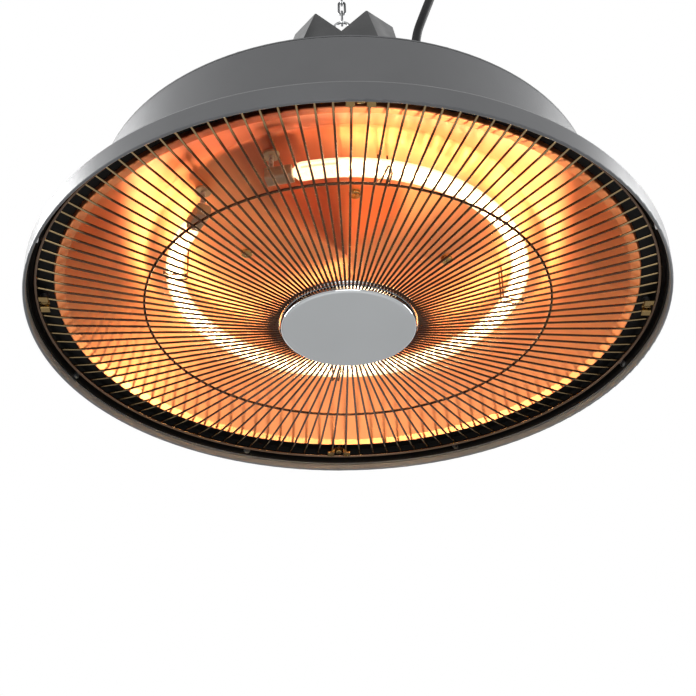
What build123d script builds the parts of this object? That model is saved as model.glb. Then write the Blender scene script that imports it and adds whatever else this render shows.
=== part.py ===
from build123d import *
import math
import os

os.makedirs("parts", exist_ok=True)

# An electric patio heater that hangs on a chain from a ceiling hook. Sizes are in millimetres.
# Heights are counted up from the rim's lowest edge while the pieces are made. At the end all is
# lowered, so that the ceiling plate's top face is at z = 0 and the heater hangs below it.
# The side that the front of the collar's notch faces is -Y.

# Shade: rim band, housing and roof
rim_radius = 212.5
rim_height = 12.5
rim_lip_width = 2.2
rim_lip_height = 4.4
rim_bend = 1.05
sheet = 1.0
shell_gap = 0.15
collar_depth = 7.5
shoulder_step = 2.5
shoulder_width = 43.5
shoulder_bend = 2.0
drum_step = 4.0
drum_bend = 4.0
drum_foot_height = 48.0
flange_bend = 1.2
roof_edge_height = 91.0
roof_edge_inset = 0.3
roof_foot_inset = 11.0
roof_foot_bend = 3.0
roof_seat_width = 12.0
roof_flat_radius = 86.0
roof_flat_height = 166.0
roof_flat_bend = 6.0
roof_screw_inset = 4.5
roof_screw_count = 8
roof_screw_length = 8.0

# Reflector, the ring that carries it and the heat shield
reflector_sheet = 0.8
reflector_lip_inset = 17.0
reflector_lip_width = 6.5
reflector_lip_height = 11.8
reflector_lip_bends = (1.6, 1.0, 0.4)
reflector_mouth_height = 13.4
reflector_crown_width = 19.5
reflector_crown_height = 50.0
reflector_bend = 14.0
reflector_flange = 3.5
carrier_rise = 3.0
carrier_drop = 6.5
carrier_bend = 1.0
carrier_slope_width = 3.7
carrier_slope_height = 3.2
carrier_gap = 0.4
shield_inset = 19.0
shield_gap = 12.0
shield_rim = 9.0
shield_bend = 2.0
spacer_radius = 4.0
fixing_radius = 68.0
fixing_angle = 5.0
fixing_count = 4

# Ring lamp
lamp_radius = 115.5
lamp_height = 32.0
lamp_tube_radius = 6.0
lamp_wall = 1.25
lamp_start = 257.0
lamp_sweep = 312.0
coil_start = 268.5
coil_sweep = 296.5
coil_turns = 77
coil_radius = 3.8
coil_wire = 0.55
tail_gap = 0.8
pinch_start = 4.0
pinch_length = 10.0
pinch_width = 5.0
pinch_thickness = 2.6
pinch_gap = 0.2
cap_length = 17.0
cap_width = 9.5
cap_height = 9.0
cap_round = 1.8
cap_gap = 0.3
cap_lead_inset = 3.0
support_angles = (187.3, 282.6, 11.3, 95.0)
support_wire = 0.6
support_gap = 0.25
support_half = 3.0
support_inside = 2.4
support_outside = 2.2
support_nose = 3.0
support_nose_half = 2.2
support_nose_rise = 4.5
support_bends = (1.6, 1.0, 0.9, 1.0, 1.6)
lead_radius = 1.5
lead_foot = 1.5
lead_rise = 18.0
lead_run = 22.0
lead_drop = 4.0
lead_entry = 8.0
lead_bends = (9.0, 8.0, 5.0)
bush_neck = 3.6
bush_gap = 0.15
bush_collar = 5.2
bush_collar_height = 1.8
bush_top = 1.5

# Guard
guard_outer_inset = 5.1
guard_outer_height = 9.2
guard_middle_radius = 134.3
guard_middle_height = 4.5
guard_inner_radius = 46.7
guard_inner_height = -4.7
guard_ring_wire = 1.25
guard_middle_wire = 0.9
guard_spoke_wire = 0.75
guard_kink_inset = 15.1
guard_kink_height = 8.2
guard_spoke_reach = 0.4
guard_spoke_end = 0.6
guard_spoke_count = 120
guard_turn = 1.25
weld_bite = 0.12
disc_inset = 1.9
disc_depth = 6.1
disc_bend = 1.8
disc_wall = 1.0
disc_gap = 0.3
disc_edge_drop = 0.6
clip_count = 4
clip_inset = 7.6
clip_depth = 5.9
clip_half_width = 8.5
clip_wing_drop = 1.2
clip_rise = 3.5
clip_top_half = 3.3
clip_sheet = 0.9
clip_bend = 0.7
clip_screw = 1.5
clip_screw_head = 2.7
clip_screw_head_height = 1.9
clip_screw_end = 1.0
clip_slot_half = 0.35
clip_slot_depth = 0.8
clip_post_radius = 3.0
clip_nut_radius = 3.2
clip_nut_height = 2.4

# Faceted collar, the bridge in it and the eye bolt
collar_top = 245.0
collar_knee = 206.0
collar_front = 33.0
collar_front_half = 19.0
collar_side = 36.0
collar_side_half = 14.0
collar_front_slope = 0.3
collar_corner_slope = 0.364
collar_side_slope = 0.15
collar_sheet = 1.5
collar_notch_height = 219.0
collar_overlap = 14.0
collar_floor_width = 15.0
collar_turn = -5.5
collar_shift = 2.5
collar_corner_gap = 1.0
collar_rivet_rise = 9.5
collar_rivet_spacing = 14.0
collar_bolt_inset = 4.5
collar_bolt_y = 16.0
bridge_sheet = 3.0
bridge_width = 24.0
bridge_half_span = 20.0
bridge_height = 64.0
bridge_foot = 13.0
bridge_bend = 4.0
bridge_bolt_inset = 6.0
eye_radius = 7.5
eye_wire = 1.1
eye_top = 267.9
eye_shank = 3.0
eye_shank_depth = 12.0
eye_nut = 5.8
eye_nut_height = 5.0

# Chain, ring, snap hook and ceiling fitting
link_pitch = 10.5
link_wire = 0.95
link_opening = 2.8
link_count = 10
hang_gap = 0.3
ring_radius = 7.5
ring_wire = 1.0
hook_wire = 2.0
hook_bow = 10.0
hook_inside = 40.0
hook_nose = 2.0
gate_pin = 0.8
gate_pin_fit = 0.08
gate_pin_end = 0.3
gate_gap = 0.3
gate_rise = 3.5
gate_slot = 4.5
gate_tongue = 0.9
gate_tongue_half = 1.5
gate_tongue_round = 1.4
gate_thinner = 0.1
bail_wire = 2.5
bail_bow = 9.0
bail_room = 11.5
plate_radius = 25.0
plate_thickness = 3.0
plate_edge = 1.0
plate_screw_spacing = 34.0
plate_hole = 2.25

# Cord: two routes by hand, and between them a coil in two layers that hangs on the chain
cord_radius = 3.2
cord_route = [
    (51.2, -50.0, 190.0),
    (51.2, -50.0, 202.5),
    (59.0, -51.0, 225.5),
    (66.0, -46.5, 250.0),
    (69.5, -36.0, 275.0),
    (69.0, -24.0, 297.0),
]
plug_route = [
    (-13.0, -28.0, 374.0),
    (-31.0, -34.0, 368.5),
    (-43.5, -39.5, 356.0),
    (-48.5, -42.5, 340.0),
    (-48.5, -42.5, 326.0),
]
coil_run = 15.0
winding_x = 22.0
winding_z = 327.0
winding_back = -17.2
winding_layer = 7.0
winding_pitch = 7.0
winding_outer = 46.5
winding_turns = 7.25
strap_gap = 0.5
strap_sheet = 1.4
strap_width = 14.0
strap_round = 2.0
plug_relief = 20.0
plug_radius = 19.0
plug_length = 34.0
plug_neck = 6.6
plug_shoulder = 11.5
plug_shoulder_drop = 1.5
plug_waist = 16.8
plug_bulge = 18.0
plug_bulge_drop = 14.0
plug_waist_drop = 17.0
plug_rim_drop = 20.0
plug_edge = 1.0
plug_grip_radius = 4.6
plug_grip_gap = 2.5
plug_pin_radius = 2.4
plug_pin_root = 1.9
plug_pin_depth = 8.0
plug_pin_round = 1.2
plug_pin_spacing = 19.0
plug_pin_length = 19.0

# Gland and strain relief
gland_hex = 9.5
gland_thread = 6.2
gland_thread_length = 9.0
gland_fit = 0.15
gland_flange = 4.0
gland_nut_height = 4.5
gland_dome = 8.0
gland_dome_foot = 8.3
gland_dome_top = 6.3
relief_length = 24.0
relief_foot = 5.6
relief_tip = 4.2

# Inside the roof
insulation_inset = 10.0
insulation_hole = 6.0
insulation_thickness = 8.0
terminal_length = 40.0
terminal_width = 22.0
terminal_height = 15.0
terminal_pitch = 6.0
terminal_half = 7.0
terminal_bore = 1.8
terminal_bore_depth = 5.0
terminal_bolt_half = 15.0
terminal_round = 1.5
terminal_screw_fit = 0.05
terminal_screw_drop = 1.5
terminal_slot_half = 0.3
terminal_slot_depth = 0.7
terminal_x = -16.0
cutout_radius = 8.0
cutout_gap = 1.5
cutout_round = 1.0
cutout_tab_x = 3.5
cutout_tab_half = 3.0
cutout_tab_sheet = 0.8
cutout_height = 7.0
cutout_x = 20.0
cutout_y = 56.0
clamp_x = 22.0
clamp_half = 13.0
clamp_screw_inset = 3.5
clamp_lift = 3.0
clamp_width = 10.0
clamp_sheet = 2.0
cable_run = 26.0
cable_bend = 18.0
cable_rise = 46.0
earth_x = 58.0
earth_y = 30.0
earth_washer = 5.0
earth_washer_sheet = 1.0
earth_gap = 1.5

# Fasteners and their fits; every cut runs past the faces that it goes through
screw_radius = 2.0
screw_head = 4.0
screw_head_height = 2.4
screw_head_round = 1.0
screw_end = 5.0
small_head = 3.2
small_head_height = 1.8
small_head_round = 0.8
small_screw_end = 2.5
nut_radius = 4.0
nut_height = 3.2
bolt_radius = 2.5
bolt_head = 4.2
bolt_head_height = 3.0
bolt_head_edge = 0.6
bolt_nut = 4.6
bolt_nut_height = 4.0
bolt_end = 2.0
rivet_count = 8
rivet_radius = 1.6
rivet_head = 2.4
rivet_head_height = 1.2
rivet_head_gap = 0.02
rivet_tail_height = 1.0
screw_clearance = 0.25
close_fit = 0.05
thread_fit = 0.1
past = 1.0
far = 80.0

# Levels that follow from the sizes above
gland_x, gland_y, cord_exit_level = cord_route[0]
chain_foot = eye_top - 2 * eye_wire
link_top = chain_foot + link_count * link_pitch
upper_link_top = link_top + link_pitch
ring_center = upper_link_top - 2 * ring_wire + ring_radius
hook_foot = ring_center + ring_radius - 2 * ring_wire
hook_top = hook_foot + hook_inside
hook_low = hook_foot - hang_gap + hook_bow - hook_wire
hook_high = hook_top - hook_bow + hook_wire
gate_pivot = hook_low + gate_rise
gate_tip = hook_high - hook_nose - gate_gap
bail_center = hook_top - bail_wire
ceiling_level = hook_top + bail_room + plate_thickness
drum_radius = rim_radius - shoulder_width
roof_screw_radius = drum_radius - roof_screw_inset
housing_collar_radius = rim_radius - sheet - shell_gap
carrier_outer_radius = housing_collar_radius - sheet - shell_gap
carrier_height = rim_height + carrier_rise
carrier_top = carrier_height + sheet
carrier_flange_height = rim_height - carrier_drop
reflector_lip_radius = carrier_outer_radius - reflector_lip_inset
reflector_mouth_radius = reflector_lip_radius - reflector_lip_width
reflector_crown_radius = lamp_radius + reflector_crown_width
carrier_inner_radius = reflector_lip_radius + carrier_gap
guard_outer_radius = carrier_outer_radius - guard_outer_inset
guard_kink_radius = guard_outer_radius - guard_kink_inset
disc_radius = guard_inner_radius - disc_inset
disc_height = guard_inner_height - disc_depth
clip_inner_radius = guard_outer_radius - clip_inset
clip_wing_height = guard_outer_height - clip_wing_drop
clip_top_height = clip_wing_height + clip_rise
shield_radius = drum_radius - shield_inset
insulation_radius = shield_radius - insulation_inset
shield_level = reflector_crown_height + reflector_sheet + shield_gap
insulation_level = shield_level + reflector_sheet
terminal_level = insulation_level + insulation_thickness
cable_level = terminal_level + cord_radius + clamp_lift
bridge_bolt_x = bridge_half_span - bridge_sheet - bridge_bolt_inset
collar_rivet_height = roof_flat_height + collar_rivet_rise
clip_middle_radius = clip_inner_radius + clip_depth / 2
clip_angles = [guard_turn + 180 / guard_spoke_count + 360 / clip_count * k for k in range(clip_count)]


def disc(radius, low, high, x=0.0, y=0.0):
    """Upright round bar or disc between two heights."""
    return Pos(x, y, low) * Cylinder(radius, high - low, align=(Align.CENTER, Align.CENTER, Align.MIN))


def hole(radius, low, high, x=0.0, y=0.0):
    """Round cut through what lies between two heights."""
    return disc(radius, low - past, high + past, x, y)


def rounded(head, end, radius):
    """Head with one end face's edge rounded: end is 0 for the lowest face and -1 for the highest."""
    return fillet(head.faces().sort_by(Axis.Z)[end].edges(), radius)


def hex_nut(size, bore, low, high, x=0.0, y=0.0, turn=0.0):
    """Six-sided nut between two heights, with its bore."""
    body = Pos(x, y, low) * Rot(0, 0, turn) * extrude(RegularPolygon(size, 6), high - low)
    return body - hole(bore, low, high, x, y)


def box(x, y, z):
    """Box from three (low, high) pairs."""
    size = Box(x[1] - x[0], y[1] - y[0], z[1] - z[0], align=(Align.MIN, Align.MIN, Align.MIN))
    return Pos(x[0], y[0], z[0]) * size


UP = Vector(0, 0, 1)
DOWN = Vector(0, 0, -1)
INWARDS = Vector(-1, 0, 0)


def strip(points, bends, thickness, towards):
    """Section of a bent sheet: a line with rounded corners, thickened towards a direction."""
    line = Wire(FilletPolyline(*points, radius=bends).edges())
    outlines = [
        line.offset_2d(thickness, kind=Kind.INTERSECTION, side=side, closed=True)
        for side in (Side.LEFT, Side.RIGHT)
    ]
    return max([Face(outline) for outline in outlines], key=lambda f: f.center(CenterOf.MASS).dot(towards))


def spun(points, bends, thickness, towards):
    """Spun sheet: the strip through (radius, height) points, turned about Z."""
    return revolve(strip([(r, 0, h) for r, h in points], bends, thickness, towards), Axis.Z)


def torus_ring(radius, wire, height):
    """Closed round wire ring about Z."""
    return Pos(0, 0, height) * Torus(radius, wire)


def polar(radius, angle, height=0.0):
    """Point at a radius and an angle in degrees."""
    return Vector(radius * math.cos(math.radians(angle)), radius * math.sin(math.radians(angle)), height)


def wire_sweep(path, radius):
    """Round wire along a path."""
    start = Plane(origin=path @ 0, z_dir=path % 0)
    return sweep(start * Circle(radius), path=path)


def corner_radii(points):
    """Arc radius at each corner of a route: 0.45 of the shorter run over the tangent of half the turn."""
    corners = [Vector(*p) for p in points]
    radii = []
    for before, here, after in zip(corners, corners[1:], corners[2:]):
        turn = (here - before).get_angle(after - here)
        shorter = min((here - before).length, (after - here).length)
        radii.append(0.45 * shorter / math.tan(math.radians(turn / 2)))
    return radii


def biarcs(point, tangent, steps):
    """Chain of tangent arcs, two for each step, through a curve given by point(u) and tangent(u)."""
    edges = []
    for u0, u1 in zip(steps, steps[1:]):
        p0, p1, t0, t1 = point(u0), point(u1), tangent(u0), tangent(u1)
        chord = p1 - p0
        a = 2 * (1 - t0.dot(t1))
        b = 2 * chord.dot(t0 + t1)
        c = chord.dot(chord)
        reach = (-b + math.sqrt(b * b + 4 * a * c)) / (2 * a)
        middle = (p0 + t0 * reach + p1 - t1 * reach) * 0.5
        heading = (p1 - t1 * reach) - (p0 + t0 * reach)
        edges.append(Edge.make_tangent_arc(p0, t0, middle))
        edges.append(Edge.make_tangent_arc(middle, heading, p1))
    return edges


def tangent_of(point, step=1e-4):
    """Unit tangent of a curve given by point(u)."""
    return lambda u: (point(u + step) - point(u - step)).normalized()


# Rim band with its lip rolled inwards and up
def rim_band():
    inner = rim_radius - rim_lip_width
    points = [(rim_radius, rim_height), (rim_radius, 0), (inner, 0), (inner, rim_lip_height)]
    return spun(points, rim_bend, sheet, INWARDS)


# Housing: collar inside the rim band, sloping shoulder, drum and a flange for the roof
def housing():
    collar = housing_collar_radius
    flange = roof_edge_height - sheet
    points = [
        (collar, rim_height - collar_depth),
        (collar, rim_height + shoulder_step),
        (drum_radius + shoulder_step, drum_foot_height - drum_step),
        (drum_radius, drum_foot_height + drum_step),
        (drum_radius, flange),
        (drum_radius - roof_seat_width, flange),
    ]
    shell = spun(points, [shoulder_bend, drum_bend, drum_bend, flange_bend], sheet, INWARDS)
    for angle in roof_screw_angles():
        spot = polar(roof_screw_radius, angle)
        shell -= hole(screw_radius + close_fit, flange - sheet, flange, spot.X, spot.Y)
    for cut in rivet_holes():
        shell -= cut
    return shell


def roof_screw_angles():
    return [360 / roof_screw_count * (k + 0.5) for k in range(roof_screw_count)]


# Screws that hold the roof's edge on the housing's flange
def roof_screws():
    screws = []
    for angle in roof_screw_angles():
        spot = polar(roof_screw_radius, angle)
        low = roof_edge_height
        head = rounded(disc(small_head, low, low + small_head_height, spot.X, spot.Y), -1, small_head_round)
        screws.append(head + disc(screw_radius, low - roof_screw_length, low, spot.X, spot.Y))
    return screws


def rivet_places():
    """Places of the rivets through the housing's collar; each Z axis points outwards."""
    level = (carrier_flange_height + rim_height) / 2
    angles = [360 / rivet_count * (k + 0.5) for k in range(rivet_count)]
    return [
        Plane(origin=polar(carrier_outer_radius, angle, level), z_dir=polar(1, angle)) for angle in angles
    ]


def rivet_holes():
    """Cuts for the rivets through the carrier's and the housing's sheets."""
    reach = 2 * (sheet + shell_gap + past)
    return [place * Cylinder(rivet_radius + close_fit, reach) for place in rivet_places()]


# Rivets that tie the carrier to the housing's collar, behind the rim band
def carrier_rivets():
    reach = sheet + shell_gap
    length = sheet + reach + rivet_head_gap
    shank = Cylinder(rivet_radius, length, align=(Align.CENTER, Align.CENTER, Align.MIN))
    head = Cylinder(rivet_head, rivet_head_height, align=(Align.CENTER, Align.CENTER, Align.MAX))
    rivet = Pos(0, 0, -sheet - rivet_head_gap) * (shank + head)
    return [place * rivet for place in rivet_places()]


# Roof: flat edge that sits on the housing, cone and a flat top
def roof():
    points = [
        (0, roof_flat_height),
        (roof_flat_radius, roof_flat_height),
        (drum_radius - roof_foot_inset, roof_edge_height),
        (drum_radius - roof_edge_inset, roof_edge_height),
    ]
    shell = spun(points, [roof_flat_bend, roof_foot_bend], sheet, DOWN)
    under = roof_flat_height - sheet
    for x, y in collar_bolts() + bridge_bolts():
        shell -= hole(bolt_radius + screw_clearance, under, roof_flat_height, x, y)
    shell -= hole(gland_thread + gland_fit, under, roof_flat_height, gland_x, gland_y)
    for angle in roof_screw_angles():
        spot = polar(roof_screw_radius, angle)
        shell -= hole(screw_radius + close_fit, roof_edge_height - sheet, roof_edge_height, spot.X, spot.Y)
    return shell


# Reflector dish with a turned lip and an outer flange that lies on the carrier
def reflector():
    lip = reflector_lip_radius
    points = [
        (0, reflector_crown_height),
        (reflector_crown_radius, reflector_crown_height),
        (reflector_mouth_radius, reflector_mouth_height),
        (lip, reflector_lip_height),
        (lip, carrier_top),
        (lip + reflector_flange, carrier_top),
    ]
    dish = spun(points, [reflector_bend, *reflector_lip_bends], reflector_sheet, UP)
    low, high = reflector_crown_height, reflector_crown_height + reflector_sheet
    for angle in fixing_angles():
        spot = polar(fixing_radius, angle)
        dish -= hole(screw_radius + screw_clearance, low, high, spot.X, spot.Y)
    for spot in lead_spots():
        dish -= hole(bush_neck, low, high, spot.position.X, spot.position.Y)
    return dish


# Black ring that carries the reflector and the guard inside the housing's collar
def carrier():
    outer = carrier_outer_radius - sheet
    points = [
        (carrier_inner_radius, carrier_height),
        (outer - carrier_slope_width, carrier_height),
        (outer, carrier_height - carrier_slope_height),
        (outer, carrier_flange_height),
    ]
    body = spun(points, [carrier_bend, carrier_bend], sheet, UP)
    for angle in clip_angles:
        spot = polar(clip_middle_radius, angle)
        body -= hole(clip_screw + screw_clearance, carrier_height, carrier_top, spot.X, spot.Y)
    for cut in rivet_holes():
        body -= cut
    return body


# Heat shield above the reflector, with a turned-up rim
def heat_shield():
    low = shield_level
    points = [(0, low), (shield_radius, low), (shield_radius, low + shield_rim)]
    plate = spun(points, shield_bend, reflector_sheet, UP)
    high = low + reflector_sheet
    for angle in fixing_angles():
        spot = polar(fixing_radius, angle)
        plate -= hole(screw_radius + screw_clearance, low, high, spot.X, spot.Y)
    for spot in lead_spots():
        plate -= hole(bush_neck, low, high, spot.position.X, spot.position.Y)
    for x, y in shield_screws():
        plate -= hole(screw_radius + close_fit, low, high, x, y)
    return plate


def fixing_angles():
    return [fixing_angle + 360 / fixing_count * k for k in range(fixing_count)]


# Screws, spacers and nuts that tie the reflector and the heat shield together
def reflector_fixings():
    low = reflector_crown_height
    shield = shield_level
    top = insulation_level
    screws, spacers, nuts = [], [], []
    for angle in fixing_angles():
        spot = polar(fixing_radius, angle)
        head = rounded(disc(screw_head, low - screw_head_height, low, spot.X, spot.Y), 0, screw_head_round)
        screws.append(head + disc(screw_radius, low, top + screw_end, spot.X, spot.Y))
        bore = hole(screw_radius + thread_fit, low, shield, spot.X, spot.Y)
        spacers.append(disc(spacer_radius, low + reflector_sheet, shield, spot.X, spot.Y) - bore)
        nuts.append(hex_nut(nut_radius, screw_radius + thread_fit, top, top + nut_height, spot.X, spot.Y))
    return screws, spacers, nuts


# Quartz tube: a long arc of tube with closed, pinched ends
def lamp_tube():
    outer = sweep_ring(lamp_tube_radius, lamp_start, lamp_sweep)
    inner = sweep_ring(lamp_tube_radius - lamp_wall, lamp_start, lamp_sweep)
    body = outer
    for angle, way in lamp_ends():
        place = end_plane(angle, way)
        body += place * Sphere(lamp_tube_radius)
        pinch = Box(pinch_width, pinch_thickness, pinch_length)
        body += place * Pos(0, 0, pinch_start + pinch_length / 2) * pinch
    body -= inner
    for angle, way in lamp_ends():
        body -= end_plane(angle, way) * Sphere(lamp_tube_radius - lamp_wall)
    return body


def lamp_ends():
    return [(lamp_start, -1), (lamp_start + lamp_sweep, 1)]


def end_plane(angle, way):
    """Plane at a lamp end whose Z points out of the tube and whose X points up."""
    along = polar(1, angle + 90 * way)
    return Plane(origin=polar(lamp_radius, angle, lamp_height), x_dir=(0, 0, 1), z_dir=along)


def sweep_ring(radius, start, sweep_angle):
    """Part of a torus about Z at the lamp's height."""
    section = Plane.XZ * Pos(lamp_radius, lamp_height) * Circle(radius)
    return Rot(0, 0, start) * revolve(section, Axis.Z, sweep_angle)


# Glowing coil: one unbroken helix that follows the tube
def lamp_coil():
    def point(u):
        angle = math.radians(coil_start + coil_sweep * u / coil_turns)
        turn = 2 * math.pi * u
        reach = lamp_radius + coil_radius * math.cos(turn)
        return Vector(
            reach * math.cos(angle), reach * math.sin(angle), lamp_height + coil_radius * math.sin(turn)
        )

    tangent = tangent_of(point)
    steps = [k / 2 for k in range(2 * coil_turns + 1)]
    path = Wire(biarcs(point, tangent, steps))
    body = sweep(Plane(origin=point(0), z_dir=tangent(0)) * Circle(coil_wire), path=path)
    pitch = math.radians(coil_sweep) * (lamp_radius - coil_radius) / coil_turns
    print("lamp coil least gap between turns", round(pitch - 2 * coil_wire, 2))
    share = body.volume / (math.pi * coil_wire**2 * path.length)
    print("lamp coil volume over section times length", round(share, 4))
    return body


# Straight stretches of the coil's wire, from its two ends to the closed ends of the tube
def lamp_tails():
    tails = []
    coil_stop = coil_start + coil_sweep
    for start, stop in ((lamp_start, coil_start - tail_gap), (coil_stop + tail_gap, lamp_start + lamp_sweep)):
        section = Plane.XZ * Pos(lamp_radius + coil_radius, lamp_height) * Circle(coil_wire)
        tails.append(Rot(0, 0, start) * revolve(section, Axis.Z, stop - start))
    return tails


# Ceramic cap on each pinched end, with a slot for the pinch
def lamp_caps():
    caps = []
    for angle, way in lamp_ends():
        place = end_plane(angle, way)
        middle = lamp_tube_radius + cap_gap + cap_length / 2
        cap = Box(cap_height, cap_width, cap_length)
        cap = fillet(cap.edges().filter_by(Axis.Z), cap_round)
        cap = Pos(0, 0, middle) * cap
        slot_depth = pinch_start + pinch_length - lamp_tube_radius
        slot = Pos(0, 0, slot_depth / 2 + lamp_tube_radius) * Box(
            pinch_width + 2 * pinch_gap, pinch_thickness + 2 * pinch_gap, slot_depth + 4 * pinch_gap
        )
        wire_hole = Pos(0, 0, middle + cap_length / 2 - cap_lead_inset) * Rot(0, 90, 0) * Cylinder(
            lead_radius + thread_fit, cap_height, align=(Align.CENTER, Align.CENTER, Align.MIN)
        )
        caps.append(place * (cap - slot - wire_hole))
    return caps


def lead_spots():
    """Places where the two leads rise from the caps."""
    reach = lamp_tube_radius + cap_gap + cap_length - cap_lead_inset
    return [end_plane(angle, way) * Pos(0, 0, reach) for angle, way in lamp_ends()]


# Leads from the caps up to the terminal block
def lamp_leads():
    leads = []
    entry_x = terminal_x - terminal_length / 2
    entry_z = terminal_level + terminal_height / 2
    for spot, side in zip(lead_spots(), (-1, 1)):
        x, y = spot.position.X, spot.position.Y
        entry_y = side * terminal_pitch
        points = [
            (x, y, lamp_height + lead_foot),
            (x, y, entry_z + lead_rise),
            (entry_x - lead_run, entry_y, entry_z + lead_drop),
            (entry_x - lead_entry, entry_y, entry_z),
            (entry_x, entry_y, entry_z),
        ]
        leads.append(wire_sweep(FilletPolyline(*points, radius=lead_bends), lead_radius))
    return leads


# Ceramic bush where each lead passes the reflector and the heat shield
def lead_bushes():
    bushes = []
    low = reflector_crown_height
    foot = low - bush_collar_height
    top = insulation_level + insulation_thickness + bush_top
    for spot in lead_spots():
        x, y = spot.position.X, spot.position.Y
        bush = disc(bush_neck - bush_gap, low, top, x, y) + disc(bush_collar, foot, low, x, y)
        bushes.append(bush - hole(lead_radius + bush_gap, foot, top, x, y))
    return bushes


# Spring wire clips that hold the tube under the reflector
def lamp_supports():
    inside = lamp_radius - lamp_tube_radius - support_inside
    outside = lamp_radius + lamp_tube_radius + support_outside
    under = lamp_height - lamp_tube_radius - support_gap - support_wire
    top = reflector_crown_height
    points = [
        (inside, -support_half, top),
        (inside, -support_half, under),
        (outside - support_nose, -support_nose_half, under),
        (outside, 0.0, under + support_nose_rise),
        (outside - support_nose, support_nose_half, under),
        (inside, support_half, under),
        (inside, support_half, top),
    ]
    path = FilletPolyline(*points, radius=support_bends)
    clip = wire_sweep(path, support_wire)
    return [Rot(0, 0, angle) * clip for angle in support_angles]


# Guard: spokes and the disc; its three rings are plain rings of wire
def guard_spokes():
    """Spokes over the outer ring and under the two others, with a kink where they cross the dish's lip."""
    lift = guard_ring_wire + guard_spoke_wire - weld_bite
    drop = guard_middle_wire + guard_spoke_wire - weld_bite
    points = [
        (guard_outer_radius + guard_spoke_reach, guard_outer_height + lift),
        (guard_kink_radius, guard_kink_height),
        (guard_middle_radius, guard_middle_height - drop),
        (guard_inner_radius - guard_spoke_end, guard_inner_height - lift),
    ]
    path = Wire(Polyline(*[(r, 0, h) for r, h in points]).edges())
    start = Plane(origin=path @ 0, z_dir=path % 0)
    spoke = sweep(start * Circle(guard_spoke_wire), path=path, transition=Transition.RIGHT)
    pitch = 360 / guard_spoke_count
    return [Rot(0, 0, guard_turn + pitch * k) * spoke for k in range(guard_spoke_count)]


def guard_disc():
    top = guard_inner_height - disc_edge_drop
    inside = guard_inner_radius - guard_ring_wire - disc_gap
    points = [(0, disc_height), (disc_radius, disc_height), (inside, top)]
    return spun(points, disc_bend, disc_wall, UP)


# Clips: a raised middle under the carrier and two wings that hold the spokes next to it
def clip_plates():
    x = clip_inner_radius
    points = [
        (x, -clip_half_width, clip_wing_height),
        (x, -clip_top_half, clip_wing_height),
        (x, -clip_top_half, clip_top_height),
        (x, clip_top_half, clip_top_height),
        (x, clip_top_half, clip_wing_height),
        (x, clip_half_width, clip_wing_height),
    ]
    plate = extrude(strip(points, clip_bend, clip_sheet, UP), clip_depth, dir=(1, 0, 0))
    top = clip_top_height + clip_sheet
    plate -= hole(clip_screw + screw_clearance, clip_top_height, top, clip_middle_radius)
    return [Rot(0, 0, angle) * plate for angle in clip_angles]


def clip_screws():
    low = clip_top_height
    foot = low - clip_screw_head_height
    head = rounded(disc(clip_screw_head, foot, low, clip_middle_radius), 0, small_head_round)
    across = (clip_middle_radius - clip_screw_head - past, clip_middle_radius + clip_screw_head + past)
    slot = box(across, (-clip_slot_half, clip_slot_half), (foot - past, foot + clip_slot_depth))
    shank = disc(clip_screw, low, carrier_top + clip_nut_height + clip_screw_end, clip_middle_radius)
    return [Rot(0, 0, angle) * (head - slot + shank) for angle in clip_angles]


def clip_posts():
    low = clip_top_height + clip_sheet
    post = disc(clip_post_radius, low, carrier_height, clip_middle_radius)
    post -= hole(clip_screw + thread_fit, low, carrier_height, clip_middle_radius)
    return [Rot(0, 0, angle) * post for angle in clip_angles]


def clip_nuts():
    high = carrier_top + clip_nut_height
    nut = hex_nut(clip_nut_radius, clip_screw + thread_fit, carrier_top, high, clip_middle_radius, turn=30)
    return [Rot(0, 0, angle) * nut for angle in clip_angles]


# Faceted collar: eight flat walls that lean in above a knee
def collar_outline(height, inset):
    """Corners of the collar's eight walls at a height, each wall moved in by the inset."""
    drop = collar_top - max(height, collar_knee)
    along = Vector(collar_side - collar_front_half, collar_front - collar_side_half)
    normal = Vector(along.Y, along.X).normalized()
    corner_reach = normal.X * collar_front_half + normal.Y * collar_front + collar_corner_slope * drop - inset
    front = collar_front + collar_front_slope * drop - inset
    side = collar_side + collar_side_slope * drop - inset
    first = (corner_reach - normal.Y * front) / normal.X
    second = (corner_reach - normal.X * side) / normal.Y
    quarter = [(first, front), (side, second)]
    return (
        quarter
        + [(x, -y) for x, y in reversed(quarter)]
        + [(-x, -y) for x, y in quarter]
        + [(-x, y) for x, y in reversed(quarter)]
    )


def faceted(levels, inset):
    """Solid between the collar's outlines at several levels."""
    rings = [[Vector(x, y, level) for x, y in collar_outline(level, inset)] for level in levels]
    faces = [Face(Wire.make_polygon(rings[0])), Face(Wire.make_polygon(rings[-1]))]
    for low, high in zip(rings, rings[1:]):
        for k in range(len(low)):
            n = (k + 1) % len(low)
            faces.append(Face(Wire.make_polygon([low[k], low[n], high[n], high[k]])))
    return Solid(Shell(faces))


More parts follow.
